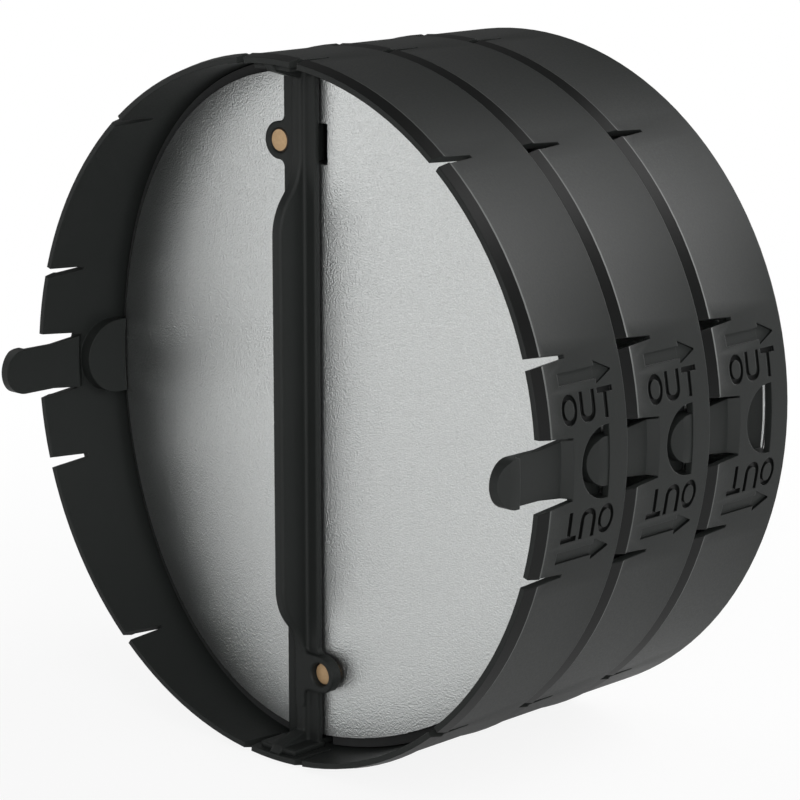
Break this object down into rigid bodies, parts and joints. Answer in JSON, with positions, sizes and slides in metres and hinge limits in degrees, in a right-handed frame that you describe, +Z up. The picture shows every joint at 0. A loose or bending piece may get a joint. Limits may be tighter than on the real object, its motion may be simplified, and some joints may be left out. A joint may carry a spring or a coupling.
{
  "type": "thermal damper",
  "caption": "Round duct damper of stacked snap-together rings, each with two sprung sheet leaves on an upright hinge bar that open downstream and close against magnets.",
  "frame": {"origin": "on the flow axis, halfway along the plain outer wall of the middle ring, the seat in the duct", "axes": "+Y along the flow from inlet to outlet, +Z up along the hinge pins, +X to the right seen from the inlet"},
  "size_m": [0.1474, 0.0877, 0.148],
  "materials": {
    "housing_plastic": "anthracite moulded plastic, fine satin",
    "leaf_steel": "light grey sheet steel with a fine embossed grain",
    "pin_steel": "drawn bright steel wire",
    "spring_steel": "hard drawn spring wire",
    "magnet_coating": "tan passivated disc magnet, slightly glossy",
    "seal_rubber": "matt black moulded rubber lip"
  },
  "bodies": {
    "housing": {"ring_1": "housing_plastic", "hinge_bar_1": "housing_plastic", "hinge_pin_1": "pin_steel", "upper_magnet_1": "magnet_coating", "lower_magnet_1": "magnet_coating", "ring_2": "housing_plastic", "hinge_bar_2": "housing_plastic", "hinge_pin_2": "pin_steel", "upper_magnet_2": "magnet_coating", "lower_magnet_2": "magnet_coating", "ring_3": "housing_plastic", "hinge_bar_3": "housing_plastic", "hinge_pin_3": "pin_steel", "upper_magnet_3": "magnet_coating", "lower_magnet_3": "magnet_coating"},
    "left_flap_1": {"left_leaf_1": "leaf_steel", "left_seal_1": "seal_rubber", "left_spring_1": "spring_steel"},
    "right_flap_1": {"right_leaf_1": "leaf_steel", "right_seal_1": "seal_rubber", "right_spring_1": "spring_steel"},
    "left_flap_2": {"left_leaf_2": "leaf_steel", "left_seal_2": "seal_rubber", "left_spring_2": "spring_steel"},
    "right_flap_2": {"right_leaf_2": "leaf_steel", "right_seal_2": "seal_rubber", "right_spring_2": "spring_steel"},
    "left_flap_3": {"left_leaf_3": "leaf_steel", "left_seal_3": "seal_rubber", "left_spring_3": "spring_steel"},
    "right_flap_3": {"right_leaf_3": "leaf_steel", "right_seal_3": "seal_rubber", "right_spring_3": "spring_steel"}
  },
  "joints": [
    {"name": "left_hinge_1", "type": "hinge", "parent": "housing", "child": "left_flap_1", "pos_m": [0, -0.02725, 0], "axis": [0, 0, -1], "range_deg": [0, 55], "stiffness_Nm_per_rad": 0.003, "springref_deg": -28.65},
    {"name": "right_hinge_1", "type": "hinge", "parent": "housing", "child": "right_flap_1", "pos_m": [0, -0.02725, 0], "axis": [0, 0, 1], "range_deg": [0, 55], "stiffness_Nm_per_rad": 0.003, "springref_deg": -28.65},
    {"name": "left_hinge_2", "type": "hinge", "parent": "housing", "child": "left_flap_2", "pos_m": [0, -0.00165, 0], "axis": [0, 0, -1], "range_deg": [0, 55], "stiffness_Nm_per_rad": 0.003, "springref_deg": -28.65},
    {"name": "right_hinge_2", "type": "hinge", "parent": "housing", "child": "right_flap_2", "pos_m": [0, -0.00165, 0], "axis": [0, 0, 1], "range_deg": [0, 55], "stiffness_Nm_per_rad": 0.003, "springref_deg": -28.65},
    {"name": "left_hinge_3", "type": "hinge", "parent": "housing", "child": "left_flap_3", "pos_m": [0, 0.02395, 0], "axis": [0, 0, -1], "range_deg": [0, 55], "stiffness_Nm_per_rad": 0.003, "springref_deg": -28.65},
    {"name": "right_hinge_3", "type": "hinge", "parent": "housing", "child": "right_flap_3", "pos_m": [0, 0.02395, 0], "axis": [0, 0, 1], "range_deg": [0, 55], "stiffness_Nm_per_rad": 0.003, "springref_deg": -28.65}
  ],
  "couplings": [
    {"joint": "left_hinge_2", "follows": "left_hinge_1", "ratio": 1},
    {"joint": "right_hinge_2", "follows": "right_hinge_1", "ratio": 1},
    {"joint": "left_hinge_3", "follows": "left_hinge_1", "ratio": 1},
    {"joint": "right_hinge_3", "follows": "right_hinge_1", "ratio": 1}
  ]
}
